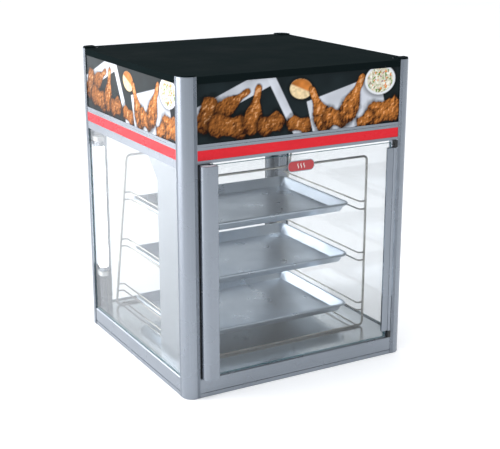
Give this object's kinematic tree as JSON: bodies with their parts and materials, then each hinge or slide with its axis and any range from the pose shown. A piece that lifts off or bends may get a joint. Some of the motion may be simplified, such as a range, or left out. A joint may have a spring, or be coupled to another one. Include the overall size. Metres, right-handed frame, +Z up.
{
  "type": "hot food display case",
  "caption": "Countertop hot food display case: glazed aluminium cabinet with a swinging glass front door, a wire rack of sheet pans, a lamp and a heated header.",
  "frame": {"origin": "centre of the overall footprint, on the counter the case stands on", "axes": "+X to the right along the front, +Y towards the rear, +Z up; the door is on the -Y side"},
  "size_m": [0.604, 0.628, 0.743],
  "materials": {
    "satin_aluminium": "satin anodised extrusion",
    "brushed_steel": "brushed",
    "pan_aluminium": "satin, lightly worn",
    "chrome_wire": "bright plated wire",
    "black_panel": "satin black",
    "printed_panel": "printed sheet, dark",
    "black_plastic": "moulded, matt",
    "red_stripe": "glossy",
    "clear_glass": "clear, 5 mm",
    "lamp_glass": "white lit tube",
    "white_plastic": "moulded",
    "dark_steel": "grey paint",
    "amber_lens": "tinted lens",
    "badge_plate": "satin plate"
  },
  "bodies": {
    "case": {"post_front_left": "satin_aluminium", "post_cap_front_left": "black_plastic", "post_front_right": "satin_aluminium", "post_cap_front_right": "black_plastic", "post_rear_left": "satin_aluminium", "post_cap_rear_left": "black_plastic", "post_rear_right": "satin_aluminium", "post_cap_rear_right": "black_plastic", "base_rail_front": "satin_aluminium", "header_rail_front": "satin_aluminium", "red_stripe_front": "red_stripe", "base_rail_rear": "satin_aluminium", "header_rail_rear": "satin_aluminium", "red_stripe_rear": "red_stripe", "base_rail_left": "satin_aluminium", "header_rail_left": "satin_aluminium", "red_stripe_left": "red_stripe", "base_rail_right": "satin_aluminium", "header_rail_right": "satin_aluminium", "red_stripe_right": "red_stripe", "header_panel_front": "printed_panel", "header_panel_left": "printed_panel", "header_panel_right": "printed_panel", "control_panel_rear": "black_panel", "top_panel": "black_panel", "floor_pan": "brushed_steel", "bottom_cover": "brushed_steel", "ceiling_panel": "brushed_steel", "glass_left": "clear_glass", "glass_right": "clear_glass", "glass_rear": "clear_glass", "rear_channel_left": "satin_aluminium", "rear_channel_right": "satin_aluminium", "hinge_block_bottom": "black_plastic", "hinge_block_top": "black_plastic", "door_seal": "black_plastic", "door_catch": "black_plastic", "wire_rack": "chrome_wire", "air_duct": "brushed_steel", "lamp_tube": "lamp_glass", "lamp_socket_bottom": "white_plastic", "lamp_socket_top": "white_plastic", "blower_housing": "dark_steel", "fan_motor": "dark_steel", "heating_element": "dark_steel", "lamp_ballast": "dark_steel", "thermostat_body": "dark_steel", "switch_body": "black_plastic", "indicator_lamp": "amber_lens", "cord_gland": "black_plastic"},
    "door": {"door_glass": "clear_glass", "door_handle": "satin_aluminium", "door_hinge_stile": "satin_aluminium", "badge": "badge_plate"},
    "pan_bottom": {"pan_bottom": "pan_aluminium"},
    "pan_middle": {"pan_middle": "pan_aluminium"},
    "pan_top": {"pan_top": "pan_aluminium"},
    "fan_wheel": {"fan_wheel": "brushed_steel"},
    "thermostat_knob": {"thermostat_knob": "black_plastic"},
    "rocker_switch": {"rocker_switch": "black_plastic"}
  },
  "joints": [
    {"name": "door_hinge", "type": "hinge", "parent": "case", "child": "door", "pos_m": [0.2585, -0.295, 0.3], "axis": [0, 0, 1], "range_deg": [0, 110]},
    {"name": "pan_bottom_slide", "type": "slide", "parent": "case", "child": "pan_bottom", "axis": [0, -1, 0], "range_m": [0, 0.11]},
    {"name": "pan_middle_slide", "type": "slide", "parent": "case", "child": "pan_middle", "axis": [0, -1, 0], "range_m": [0, 0.11]},
    {"name": "pan_top_slide", "type": "slide", "parent": "case", "child": "pan_top", "axis": [0, -1, 0], "range_m": [0, 0.11]},
    {"name": "fan_spin", "type": "hinge", "parent": "case", "child": "fan_wheel", "pos_m": [0.04, 0.03, 0.58], "axis": [0, 0, 1], "continuous": true},
    {"name": "thermostat_turn", "type": "hinge", "parent": "case", "child": "thermostat_knob", "pos_m": [-0.06, 0.3, 0.655], "axis": [0, -1, 0], "range_deg": [0, 270]},
    {"name": "rocker_tilt", "type": "hinge", "parent": "case", "child": "rocker_switch", "pos_m": [0.06, 0.2888, 0.655], "axis": [1, 0, 0], "range_deg": [0, 16]}
  ]
}
